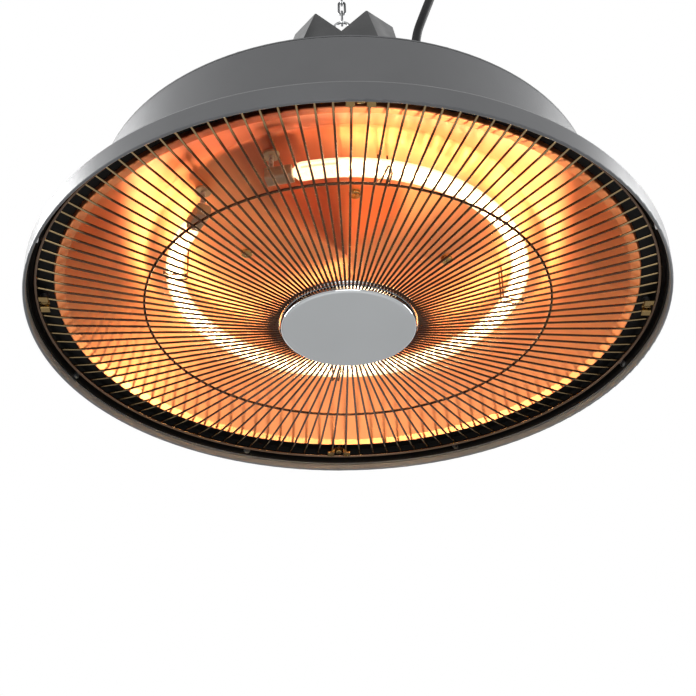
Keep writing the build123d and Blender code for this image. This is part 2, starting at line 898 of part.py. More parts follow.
def collar_half(side):
    """One of the two folded halves; side is -1 for the left half and 1 for the right half."""
    levels = [roof_flat_height, collar_knee, collar_top]
    shell = faceted(levels, 0) - faceted(levels, collar_sheet)
    shell = Part() + shell
    inside = Part() + faceted(levels, collar_sheet)
    floor_edge = collar_side + collar_side_slope * (collar_top - collar_knee) - collar_floor_width
    floor = box((-far, -floor_edge), (-far, far), (roof_flat_height, roof_flat_height + collar_sheet))
    shell += inside & floor
    shell = Pos(0, -(collar_sheet + shell_gap) / 2, 0) * shell
    notch_run = collar_top - collar_notch_height
    corner = collar_front_half - collar_corner_gap
    slope = notch_run / corner
    reach = collar_overlap
    outline = [
        (-far, roof_flat_height - past),
        (reach, roof_flat_height - past),
        (reach, collar_notch_height - slope * reach),
        (-corner, collar_top),
        (-corner, collar_top + past),
        (-far, collar_top + past),
    ]
    keep = extrude(Plane.XZ * Face(Wire.make_polygon(outline)), far, both=True)
    half = shell & keep
    for x in (-collar_rivet_spacing / 2, collar_rivet_spacing / 2):
        half -= Pos(x, 0, collar_rivet_height) * Rot(90, 0, 0) * Cylinder(rivet_radius + close_fit, 2 * far)
    half = half if side < 0 else Rot(0, 0, 180) * half
    half = Pos(collar_shift, 0, 0) * Rot(0, 0, collar_turn) * half
    for x, y in collar_bolts():
        half -= hole(bolt_radius + screw_clearance, roof_flat_height, roof_flat_height + collar_sheet, x, y)
    return half


# Rivets through both halves of the collar, low on its front and back walls
def collar_rivets():
    outer = collar_outline(collar_rivet_height, 0)[0][1] + (collar_sheet + shell_gap) / 2
    through = 2 * collar_sheet + shell_gap
    shank = Pos(0, 0, -through) * Cylinder(
        rivet_radius, through, align=(Align.CENTER, Align.CENTER, Align.MIN)
    )
    head = Cylinder(rivet_head, rivet_head_height, align=(Align.CENTER, Align.CENTER, Align.MIN))
    tail = Pos(0, 0, -through) * Cylinder(
        rivet_head, rivet_tail_height, align=(Align.CENTER, Align.CENTER, Align.MAX)
    )
    rivet = shank + head + tail
    rivets = []
    for way in (0, 180):
        for x in (-collar_rivet_spacing / 2, collar_rivet_spacing / 2):
            place = Pos(x, -outer, collar_rivet_height) * Rot(90, 0, 0)
            turned = Rot(0, 0, collar_turn + way) * place * rivet
            rivets.append(Pos(collar_shift, 0, 0) * turned)
    return rivets


def collar_bolts():
    """Places of the bolts through the collar's floor."""
    x, y = collar_side - collar_bolt_inset, collar_bolt_y
    turn = math.radians(collar_turn)
    corners = [(-x, -y), (-x, y), (x, -y), (x, y)]
    return [
        (collar_shift + a * math.cos(turn) - b * math.sin(turn), a * math.sin(turn) + b * math.cos(turn))
        for a, b in corners
    ]


def bridge_bolts():
    return [(-bridge_bolt_x, 0.0), (bridge_bolt_x, 0.0)]


# Bridge in the collar that carries the eye bolt, its feet turned in
def bridge():
    low = roof_flat_height
    top = low + bridge_height
    outer = bridge_half_span
    points = [(0, 0, top), (outer, 0, top), (outer, 0, low), (outer - bridge_foot, 0, low)]
    half = extrude(strip(points, bridge_bend, bridge_sheet, INWARDS), bridge_width / 2, both=True)
    strap = half + mirror(half, about=Plane.YZ)
    strap -= hole(eye_shank + screw_clearance, top - bridge_sheet, top)
    for x, y in bridge_bolts():
        strap -= hole(bolt_radius + screw_clearance, low, low + bridge_sheet, x, y)
    return strap


def roof_bolts():
    """Bolts that hold the collar and the bridge on the roof, with their nuts."""
    bolts, nuts = [], []
    under = roof_flat_height - sheet
    for spots, sheet_above in ((collar_bolts(), collar_sheet), (bridge_bolts(), bridge_sheet)):
        for x, y in spots:
            top = roof_flat_height + sheet_above
            nut_foot = under - bolt_nut_height
            head = disc(bolt_head, top, top + bolt_head_height, x, y)
            head = chamfer(head.faces().sort_by(Axis.Z)[-1].edges(), bolt_head_edge)
            bolts.append(head + disc(bolt_radius, nut_foot - bolt_end, top, x, y))
            nuts.append(hex_nut(bolt_nut, bolt_radius + thread_fit, nut_foot, under, x, y))
    return bolts, nuts


# Eye bolt: ring, shank through the bridge, and a nut on each side
def eye_bolt():
    top = roof_flat_height + bridge_height
    center = eye_top - eye_radius
    loop = Pos(0, 0, center) * Rot(90, 0, 0) * Torus(eye_radius - eye_wire, eye_wire)
    foot = center - eye_radius + eye_wire
    return loop + disc(eye_shank, top - eye_shank_depth, foot)


def eye_nuts():
    top = roof_flat_height + bridge_height
    under = top - bridge_sheet
    spans = ((top, top + eye_nut_height), (under - eye_nut_height, under))
    return [hex_nut(eye_nut, eye_shank + thread_fit, low, high) for low, high in spans]


def looped(bow, wire, low, high):
    """Closed wire loop in the XZ plane: a half ring below, a half ring above and two straights."""
    ring_turn = Rot(90, 0, 0) * Torus(bow, wire)
    reach = bow + wire + past
    span = (-reach, reach)
    below = Pos(0, 0, low) * ring_turn & box(span, span, (low - reach, low))
    above = Pos(0, 0, high) * ring_turn & box(span, span, (high, high + reach))
    return below + above + disc(wire, low, high, -bow) + disc(wire, low, high, bow)


# Chain link, made in the XZ plane from its foot up, longer than the pitch by the hanging gap
def link(foot):
    bow = link_opening / 2 + link_wire
    low = foot - hang_gap / 2 - link_wire + bow
    high = foot + link_pitch + hang_gap / 2 + link_wire - bow
    return looped(bow, link_wire, low, high)


def quarter_turned(shape):
    return Rot(0, 0, 90) * shape


def chain_links():
    links = []
    for k in range(link_count):
        shape = link(chain_foot + link_pitch * k)
        links.append(quarter_turned(shape) if k % 2 == 0 else shape)
    return links


# Ring between the chain and the snap hook
def top_ring():
    return Pos(0, 0, ring_center) * Rot(90, 0, 0) * Torus(ring_radius - ring_wire, ring_wire)


# Snap hook in the YZ plane: wire bent round two bows, open at the front for the gate
def snap_hook():
    tongue_top = gate_pivot + hook_wire - gate_thinner
    points = Polyline((0, -hook_bow, hook_low + hook_nose / 2), (0, -hook_bow, hook_low)).edges()
    points += ThreePointArc(
        (0, -hook_bow, hook_low), (0, 0, hook_low - hook_bow), (0, hook_bow, hook_low)
    ).edges()
    points += Polyline((0, hook_bow, hook_low), (0, hook_bow, hook_high)).edges()
    points += ThreePointArc(
        (0, hook_bow, hook_high), (0, 0, hook_high + hook_bow), (0, -hook_bow, hook_high)
    ).edges()
    points += Polyline((0, -hook_bow, hook_high), (0, -hook_bow, hook_high - hook_nose)).edges()
    body = wire_sweep(Wire(points), hook_wire)
    depth = (-hook_bow - gate_tongue_half, -hook_bow + gate_tongue_half)
    tongue = box((-gate_tongue, gate_tongue), depth, (hook_low, tongue_top))
    tongue = fillet(tongue.edges().filter_by(Axis.X).sort_by(Axis.Z)[-2:], gate_tongue_round)
    return body + tongue - gate_bar(gate_pin, hook_wire + past)


def gate_bar(radius, reach):
    """Round bar along the gate's pivot, to both sides of the hook."""
    return Pos(0, -hook_bow, gate_pivot) * Rot(0, 90, 0) * Cylinder(radius, 2 * reach)


def snap_gate_pin():
    return gate_bar(gate_pin, hook_wire + gate_pin_end)


# Sprung gate: round bar with a slot round the hook's tongue
def snap_gate():
    radius = hook_wire - gate_thinner
    bar = disc(radius, gate_pivot, gate_tip, 0, -hook_bow)
    slot = box(
        (-gate_tongue - gate_gap, gate_tongue + gate_gap),
        (-hook_bow - hook_wire - past, -hook_bow + hook_wire + past),
        (gate_pivot - hook_wire - past, gate_pivot + gate_slot),
    )
    return bar + gate_bar(radius, radius) - slot - gate_bar(gate_pin + gate_pin_fit, hook_wire + past)


# Ceiling fitting: round plate with two screw holes and a wire bail
def ceiling_plate():
    low = ceiling_level - plate_thickness
    plate = disc(plate_radius, low, ceiling_level)
    plate = chamfer(plate.faces().sort_by(Axis.Z)[0].edges(), plate_edge)
    for x in (-plate_screw_spacing / 2, plate_screw_spacing / 2):
        plate -= hole(plate_hole, low, ceiling_level, x)
        sink = 2 * plate_hole
        plate -= Pos(x, 0, low) * Cone(sink, 0, sink, align=(Align.CENTER, Align.CENTER, Align.MIN))
    return plate


def ceiling_bail():
    low = bail_center + bail_bow
    under = ceiling_level - plate_thickness
    path = Wire(
        Polyline((-bail_bow, 0, under), (-bail_bow, 0, low)).edges()
        + ThreePointArc((-bail_bow, 0, low), (0, 0, bail_center), (bail_bow, 0, low)).edges()
        + Polyline((bail_bow, 0, low), (bail_bow, 0, under)).edges()
    )
    return wire_sweep(path, bail_wire)


# Winding: a turn is one unit of u; the layers change in the half turn where the spiral reverses
def winding_point(u):
    middle = winding_turns / 2
    away = abs(u - middle)
    climb = 0.25
    eased = away if away > climb else (away * away + climb * climb) / (2 * climb)
    radius = winding_outer - winding_pitch * (middle - eased)
    share = min(1, max(0, (u - middle + climb) / (2 * climb)))
    depth = winding_back - winding_layer * share * share * (3 - 2 * share)
    angle = 2 * math.pi * u
    return Vector(winding_x + radius * math.cos(angle), depth, winding_z + radius * math.sin(angle))


winding_tangent = tangent_of(winding_point)


def cord_coil():
    count = round(4 * winding_turns)
    steps = [winding_turns * k / count for k in range(count + 1)]
    path = Wire(biarcs(winding_point, winding_tangent, steps))
    body = sweep(Plane(origin=winding_point(0), z_dir=winding_tangent(0)) * Circle(cord_radius), path=path)
    report_tube("cord coil", body, path)
    points = [path @ (k / 900) for k in range(901)]
    apart = int(900 / winding_turns / 3)
    least = min((a - b).length for k, a in enumerate(points) for b in points[k + apart:])
    print("cord coil least gap to itself", round(least - 2 * cord_radius, 2))
    return body


def report_tube(name, body, path):
    share = body.volume / (math.pi * cord_radius**2 * path.length)
    print(name, "length", round(path.length, 1), "volume over section times length", round(share, 4))


def cord_tube(name, points):
    radii = corner_radii(points)
    print(name, "radii", [round(radius, 1) for radius in radii])
    path = FilletPolyline(*points, radius=radii)
    body = wire_sweep(path, cord_radius)
    report_tube(name, body, path)
    return body


def cord_lead():
    start = winding_point(0)
    joint = start - winding_tangent(0) * coil_run
    return cord_tube("cord lead", cord_route + [tuple(joint), tuple(start)])


def cord_tail():
    start = winding_point(winding_turns)
    joint = start + winding_tangent(winding_turns) * coil_run
    return cord_tube("cord tail", [tuple(start), tuple(joint)] + plug_route)


# Strap round the coil's left side and the chain
def coil_strap():
    left = winding_x - winding_outer - cord_radius - strap_gap
    inner_turn = winding_outer - winding_pitch * winding_turns / 2
    right = winding_x - inner_turn + cord_radius + strap_gap
    front = winding_back - winding_layer - cord_radius - strap_gap
    back = winding_back + cord_radius + strap_gap
    chain = link_opening / 2 + 2 * link_wire + strap_gap
    corners = [(left, front), (right, front), (right, chain), (-chain, chain), (left, back)]
    inner = fillet(Face(Wire.make_polygon(corners)).vertices(), strap_round)
    outer = offset(inner, strap_sheet, kind=Kind.ARC)
    band = extrude(outer, strap_width / 2, both=True) - extrude(inner, strap_width, both=True)
    return Pos(0, 0, winding_z) * band


# Gland on the roof, its nut below, and the tapered relief that the cord leaves
def gland_body():
    top = roof_flat_height
    flange = Pos(gland_x, gland_y, top) * extrude(RegularPolygon(gland_hex, 6), gland_flange)
    dome = Pos(gland_x, gland_y, top + gland_flange) * Cone(
        gland_dome_foot, gland_dome_top, gland_dome, align=(Align.CENTER, Align.CENTER, Align.MIN)
    )
    low, high = top - gland_thread_length, top + gland_flange + gland_dome
    thread = disc(gland_thread, low, top, gland_x, gland_y)
    bore = hole(cord_radius + thread_fit, low, high, gland_x, gland_y)
    seat = disc(relief_foot + thread_fit, cord_exit_level - relief_length, high + past, gland_x, gland_y)
    return flange + dome + thread - bore - seat


def gland_nut():
    under = roof_flat_height - sheet
    return hex_nut(gland_hex, gland_thread + thread_fit, under - gland_nut_height, under, gland_x, gland_y)


def strain_relief():
    foot = cord_exit_level - relief_length
    neck = roof_flat_height + gland_flange + gland_dome - foot
    base = disc(relief_foot, foot, foot + neck, gland_x, gland_y)
    taper = Pos(gland_x, gland_y, foot + neck) * Cone(
        relief_foot, relief_tip, relief_length - neck, align=(Align.CENTER, Align.CENTER, Align.MIN)
    )
    return base + taper


# Plug at the end of the cord: tapered relief, round body and two pins that point down
def plug_body():
    x, y, top = plug_route[-1]
    shoulder = top - plug_relief
    foot = shoulder - plug_length
    outline = Polyline(
        (0, top),
        (relief_tip, top),
        (plug_neck, shoulder),
        (plug_shoulder, shoulder - plug_shoulder_drop),
        (plug_bulge, shoulder - plug_bulge_drop),
        (plug_waist, shoulder - plug_waist_drop),
        (plug_radius, shoulder - plug_rim_drop),
        (plug_radius, foot + plug_edge),
        (plug_radius - plug_edge, foot),
        (0, foot),
        (0, top),
    )
    body = Pos(x, y, 0) * revolve(Plane.XZ * make_face(outline), Axis.Z)
    for side in (-1, 1):
        body -= hole(plug_grip_radius, foot, shoulder, x, y + side * (plug_radius + plug_grip_gap))
    for pin in plug_pins():
        body -= pin
    return body


def plug_pins():
    x, y, top = plug_route[-1]
    foot = top - plug_relief - plug_length
    pins = []
    for side in (-1, 1):
        pin_x = x + side * plug_pin_spacing / 2
        pin = rounded(disc(plug_pin_radius, foot - plug_pin_length, foot, pin_x, y), 0, plug_pin_round)
        pins.append(pin + disc(plug_pin_root, foot, foot + plug_pin_depth, pin_x, y))
    return pins


# Insulation on the heat shield
def insulation():
    low, high = insulation_level, terminal_level
    plate = disc(insulation_radius, low, high) - hole(insulation_hole, low, high)
    for angle in fixing_angles():
        spot = polar(fixing_radius, angle)
        plate -= hole(nut_radius + past, low, high, spot.X, spot.Y)
    for spot in lead_spots():
        plate -= hole(bush_neck, low, high, spot.position.X, spot.position.Y)
    plate -= hole(cutout_radius + cutout_gap, low, high, cutout_x, cutout_y)
    plate -= hole(earth_washer + earth_gap, low, high, earth_x, earth_y)
    for x, y in shield_screws():
        plate -= hole(screw_radius + close_fit, low, high, x, y)
    return plate


def block_screws():
    return [(terminal_x - terminal_bolt_half, 0.0), (terminal_x + terminal_bolt_half, 0.0)]


def clamp_screws():
    reach = clamp_half - clamp_screw_inset
    return [(clamp_x, -reach), (clamp_x, reach)]


def shield_screws():
    """Places of the screws that go through the insulation into the heat shield."""
    return block_screws() + clamp_screws() + [(earth_x, earth_y)]


# Terminal block with wire holes along X and its two mounting screws
def terminal_block():
    half = terminal_length / 2
    body = box(
        (terminal_x - half, terminal_x + half),
        (-terminal_width / 2, terminal_width / 2),
        (terminal_level, terminal_level + terminal_height),
    )
    top = terminal_level + terminal_height
    body = fillet(body.edges().filter_by(Axis.Z), terminal_round)
    for x, y in terminal_spots():
        body -= disc(terminal_bore, top - terminal_bore_depth, top + past, x, y)
    for x, y in block_screws():
        body -= hole(screw_radius + thread_fit, terminal_level, top, x, y)
    return body


def terminal_spots():
    """Places of the four screws that hold the wires."""
    sides = (-1, 1)
    return [(terminal_x + a * terminal_half, b * terminal_pitch) for a in sides for b in sides]


def terminal_screws():
    top = terminal_level + terminal_height
    head = top - terminal_screw_drop
    radius = terminal_bore - terminal_screw_fit
    screws = []
    for x, y in terminal_spots():
        across = (y - terminal_slot_half, y + terminal_slot_half)
        slot = box((x - terminal_bore, x + terminal_bore), across, (head - terminal_slot_depth, top))
        screws.append(disc(radius, top - terminal_bore_depth, head, x, y) - slot)
    return screws


# Screws that hold the terminal block and the cable clamp on the heat shield
def mounting_screws():
    screws = []
    tops = [terminal_level + terminal_height] * 2 + [terminal_level + clamp_sheet] * 2
    for (x, y), top in zip(block_screws() + clamp_screws(), tops):
        head = rounded(disc(small_head, top, top + small_head_height, x, y), -1, small_head_round)
        screws.append(head + disc(screw_radius, shield_level - small_screw_end, top, x, y))
    return screws


# Thermal cut-out on the heat shield with two tabs
def thermal_cutout():
    low = insulation_level
    body = disc(cutout_radius, low, low + cutout_height, cutout_x, cutout_y)
    top = low + cutout_height
    body = rounded(body, -1, cutout_round)
    half = cutout_tab_sheet / 2
    along = (cutout_y - cutout_tab_half, cutout_y + cutout_tab_half)
    for side in (-1, 1):
        x = cutout_x + side * cutout_tab_x
        body += box((x - half, x + half), along, (top, top + cutout_height))
    return body


# Earth screw with its washer
def earth_screw():
    low = insulation_level
    seat = low + earth_washer_sheet
    washer = disc(earth_washer, low, seat, earth_x, earth_y)
    head = rounded(disc(screw_head, seat, seat + screw_head_height, earth_x, earth_y), -1, screw_head_round)
    return washer + head + disc(screw_radius, shield_level - small_screw_end, seat, earth_x, earth_y)


# Cable from the gland down to the terminal block, and the clamp that holds it
def inner_cable():
    start = terminal_x + terminal_length / 2
    points = [
        (start, 0, cable_level),
        (clamp_x + cable_run, 0, cable_level),
        (gland_x, gland_y, cable_level + cable_rise),
        (gland_x, gland_y, cord_exit_level - relief_length),
    ]
    return wire_sweep(FilletPolyline(*points, radius=cable_bend), cord_radius)


def cable_clamp():
    low = terminal_level
    across = (clamp_x - clamp_width / 2, clamp_x + clamp_width / 2)
    outer = cord_radius + clamp_sheet
    foot = box(across, (-clamp_half, clamp_half), (low, low + clamp_sheet))
    along = Pos(clamp_x, 0, cable_level) * Rot(0, 90, 0)
    wall = box(across, (-outer, outer), (low, cable_level))
    clamp = foot + wall + along * Cylinder(outer, clamp_width)
    clamp -= along * Cylinder(cord_radius + close_fit, clamp_width + 2 * past)
    for x, y in clamp_screws():
        clamp -= hole(screw_radius + close_fit, low, low + clamp_sheet, x, y)
    return clamp


reflector_screws, reflector_spacers, reflector_nuts = reflector_fixings()
roof_bolt_set, roof_nut_set = roof_bolts()

pieces = {
    "ceiling_plate": ceiling_plate(),
    "ceiling_bail": ceiling_bail(),
    "snap_hook": snap_hook(),
    "snap_gate_pin": snap_gate_pin(),
    "snap_gate": snap_gate(),
    "top_ring": top_ring(),
    "upper_link": quarter_turned(link(link_top)),
    "chain_links": chain_links(),
    "eye_bolt": eye_bolt(),
    "eye_nuts": eye_nuts(),
    "bridge": bridge(),
    "collar_left": collar_half(-1),
    "collar_right": collar_half(1),
    "collar_rivets": collar_rivets(),
    "roof_bolts": roof_bolt_set,
    "roof_nuts": roof_nut_set,
    "roof": roof(),
    "roof_screws": roof_screws(),
    "housing": housing(),
    "rim_band": rim_band(),
    "carrier": carrier(),
    "carrier_rivets": carrier_rivets(),
    "reflector": reflector(),
    "reflector_screws": reflector_screws,
    "reflector_spacers": reflector_spacers,
    "reflector_nuts": reflector_nuts,
    "heat_shield": heat_shield(),
    "insulation": insulation(),
    "lamp_tube": lamp_tube(),
    "lamp_coil": lamp_coil(),
    "lamp_tails": lamp_tails(),
    "lamp_caps": lamp_caps(),
    "lamp_supports": lamp_supports(),
    "lamp_leads": lamp_leads(),
    "lead_bushes": lead_bushes(),
    "terminal_block": terminal_block(),
    "terminal_screws": terminal_screws(),
    "mounting_screws": mounting_screws(),
    "thermal_cutout": thermal_cutout(),
    "earth_screw": earth_screw(),
    "inner_cable": inner_cable(),
    "cable_clamp": cable_clamp(),
    "guard_outer_ring": torus_ring(guard_outer_radius, guard_ring_wire, guard_outer_height),
    "guard_middle_ring": torus_ring(guard_middle_radius, guard_middle_wire, guard_middle_height),
    "guard_inner_ring": torus_ring(guard_inner_radius, guard_ring_wire, guard_inner_height),
    "guard_spokes": guard_spokes(),
    "guard_disc": guard_disc(),
    "clip_plates": clip_plates(),
    "clip_screws": clip_screws(),
    "clip_posts": clip_posts(),
    "clip_nuts": clip_nuts(),
    "gland_body": gland_body(),
    "gland_nut": gland_nut(),
    "strain_relief": strain_relief(),
    "cord_lead": cord_lead(),
    "cord_coil": cord_coil(),
    "cord_tail": cord_tail(),
    "coil_strap": coil_strap(),
    "plug_body": plug_body(),
    "plug_pins": plug_pins(),
}

for name, shape in pieces.items():
    shapes = shape if isinstance(shape, list) else [shape]
    solids = [solid for item in shapes for solid in (Pos(0, 0, -ceiling_level) * item).solids()]
    export_step(Compound(solids), f"parts/{name}.step")

print("ceiling level", round(ceiling_level, 3))
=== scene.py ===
import math

import bmesh
import bpy
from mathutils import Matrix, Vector


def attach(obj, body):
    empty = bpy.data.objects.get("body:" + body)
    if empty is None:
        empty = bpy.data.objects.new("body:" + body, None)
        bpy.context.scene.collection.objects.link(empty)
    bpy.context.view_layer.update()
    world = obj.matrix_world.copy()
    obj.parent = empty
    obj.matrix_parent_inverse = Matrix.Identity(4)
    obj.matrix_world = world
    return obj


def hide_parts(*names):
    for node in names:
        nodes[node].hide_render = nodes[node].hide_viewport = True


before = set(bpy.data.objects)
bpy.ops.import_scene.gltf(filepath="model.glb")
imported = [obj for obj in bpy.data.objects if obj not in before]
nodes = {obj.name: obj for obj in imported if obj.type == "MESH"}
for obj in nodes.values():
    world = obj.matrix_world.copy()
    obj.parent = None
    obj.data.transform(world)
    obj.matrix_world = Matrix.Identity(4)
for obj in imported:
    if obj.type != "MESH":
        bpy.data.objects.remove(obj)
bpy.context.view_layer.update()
scene = bpy.context.scene
scene.view_settings.view_transform = "Standard"

# Places are in the row frame, in metres. Heights in the routes below count up from the rim.
RIM = -0.4467

CAMERA_PLACE = (0.0, -0.87953, RIM - 0.59610)
CAMERA_ANGLES = (123.0132, 1.0127, 0.7044)
CAMERA_LENS = 83.125
CAMERA_SENSOR = 36
CAMERA_NEAREST = 0.01
CAMERA_FARTHEST = 50

CORD_DIAMETER = 0.0064
CORD_LEAD = [
    (0.0512, -0.0500, 0.1900),
    (0.0512, -0.0500, 0.2025),
    (0.0590, -0.0510, 0.2255),
    (0.0660, -0.0465, 0.2500),
    (0.0695, -0.0360, 0.2750),
    (0.0690, -0.0240, 0.2970),
]
CORD_TAIL = [
    (-0.0130, -0.0280, 0.3740),
    (-0.0310, -0.0340, 0.3685),
    (-0.0435, -0.0395, 0.3560),
    (-0.0485, -0.0425, 0.3400),
    (-0.0485, -0.0425, 0.3260),
]
CORD_STEPS = 8
CORD_ROUNDNESS = 6
COIL_RUN = 0.015
WINDING_X = 0.022
WINDING_Z = 0.327
WINDING_BACK = -0.0172
WINDING_LAYER = 0.007
WINDING_PITCH = 0.007
WINDING_OUTER = 0.0465
WINDING_TURNS = 7.25
WINDING_CLIMB = 0.25
WINDING_NUDGE = 1e-4
POINTS_PER_TURN = 16

COPPER = (0.93, 0.32, 0.125)
# Dish colour used as painted shade around the lamp's gap, where the coil gives no light
COPPER_GAP_SHADE = (0.42, 0.10, 0.045)
GAP_ANGLE = 251
GAP_COSINES = {"start": 0.90, "stop": 0.985}
# Radii where the guard wire's painted reflection turns from dark to light
PAINTED_REFLECTION_RADII = {"start": 0.184, "stop": 0.192}
LAMP_GLOW = (1.0, 0.78, 0.46)
LAMP_STRENGTH = 48.0
TUBE_GLOW = 0.5
BANDS_PER_SCALE = 6.28

FLOOR_HEIGHT = -2.4
FLOOR_HALF_SIDE = 6
FLOOR_COLOR = (0.8, 0.8, 0.79)
FLOOR_DEEP = (0.77, 0.77, 0.76)
FLOOR_LIGHT = (0.82, 0.82, 0.81)
FLOOR_BOUNCE = (0.36, 0.39, 0.43)
FLOOR_PALE = 0.4
WORLD_LIGHT = 0.55
WORLD_SEEN = 1.0

PANEL_TARGET = (0, 0, -0.35)
PANELS = (
    ("left_panel", (-1.9, 0.60, 0.1), (0.9, 1.6), 62),
    ("right_panel", (1.9, 0.60, 0.1), (0.9, 1.6), 40),
    ("front_panel", (0.0, -2.0, -1.3), (1.4, 0.9), 11),
)
DISH_CROWN = (0, 0, RIM + 0.05)
DISH_PANEL_REACH = 1.0
DISH_PANEL_SIDES = (0.12, 0.12)
DISH_PANEL_COLOR = (1.0, 0.86, 0.55)
DISH_PANELS = (
    ("dish_panel_a", (0.193, 0.60, -0.776), 1.8),
    ("dish_panel_b", (0.06, 0.66, -0.75), 1.6),
)


def make_camera():
    camera = bpy.data.objects.new("camera", bpy.data.cameras.new("camera"))
    scene.collection.objects.link(camera)
    camera.location = CAMERA_PLACE
    camera.rotation_euler = [math.radians(angle) for angle in CAMERA_ANGLES]
    camera.data.sensor_width = CAMERA_SENSOR
    camera.data.lens = CAMERA_LENS
    camera.data.clip_start = CAMERA_NEAREST
    camera.data.clip_end = CAMERA_FARTHEST
    scene.camera = camera


make_camera()


# The cord's route from the gland, the coil's turns and the stretch to the plug are one smooth line
def winding_point(u):
    """The line of the winding after u turns: a flat spiral inwards, a step back, a spiral outwards."""
    middle = WINDING_TURNS / 2
    away = abs(u - middle)
    if away < WINDING_CLIMB:
        away = (away * away + WINDING_CLIMB * WINDING_CLIMB) / (2 * WINDING_CLIMB)
    radius = WINDING_OUTER - WINDING_PITCH * (middle - away)
    share = min(1, max(0, (u - middle + WINDING_CLIMB) / (2 * WINDING_CLIMB)))
    depth = WINDING_BACK - WINDING_LAYER * share * share * (3 - 2 * share)
    angle = 2 * math.pi * u
    return Vector((WINDING_X + radius * math.cos(angle), depth, WINDING_Z + radius * math.sin(angle)))


def winding_heading(u):
    return (winding_point(u + WINDING_NUDGE) - winding_point(u - WINDING_NUDGE)).normalized()


def coil_control_points():
    """Points just outside the winding, so that the smooth line between them runs along it."""
    count = round(WINDING_TURNS * POINTS_PER_TURN)
    swell = 1 / math.cos(math.pi / POINTS_PER_TURN)
    points = []
    for k in range(count):
        point = winding_point(WINDING_TURNS * (k + 0.5) / count)
        point.x = WINDING_X + (point.x - WINDING_X) * swell
        point.z = WINDING_Z + (point.z - WINDING_Z) * swell
        points.append(point)
    return points


def cord_points():
    start = winding_point(0)
    end = winding_point(WINDING_TURNS)
    points = [Vector(p) for p in CORD_LEAD]
    points.append(start - winding_heading(0) * COIL_RUN)
    points += coil_control_points()
    points.append(end + winding_heading(WINDING_TURNS) * COIL_RUN)
    points += [Vector(p) for p in CORD_TAIL]
    return [point + Vector((0, 0, RIM)) for point in points]


def make_cord():
    curve = bpy.data.curves.new("cord_curve", "CURVE")
    curve.dimensions = "3D"
    spline = curve.splines.new("NURBS")
    points = cord_points()
    spline.points.add(len(points) - 1)
    for slot, point in zip(spline.points, points):
        slot.co = (*point, 1)
        slot.radius = CORD_DIAMETER / 2
    spline.order_u = 3
    spline.use_endpoint_u = True
    spline.resolution_u = CORD_STEPS
    curve.bevel_depth = 1.0
    curve.bevel_resolution = CORD_ROUNDNESS
    curve.use_fill_caps = True
    cord = bpy.data.objects.new("cord_line", curve)
    scene.collection.objects.link(cord)
    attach(cord, "heater")
    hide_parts("cord_lead", "cord_coil", "cord_tail")
    return cord


cord = make_cord()


# Materials
def scaled(color, share):
    return tuple(channel * share for channel in color)


def either(tree, *sources):
    """One wherever any of the sources is one."""
    joined = sources[0]
    for source in sources[1:]:
        larger = tree.nodes.new("ShaderNodeMath")
        larger.operation = "MAXIMUM"
        tree.links.new(joined, larger.inputs[0])
        tree.links.new(source, larger.inputs[1])
        joined = larger.outputs["Value"]
    return joined


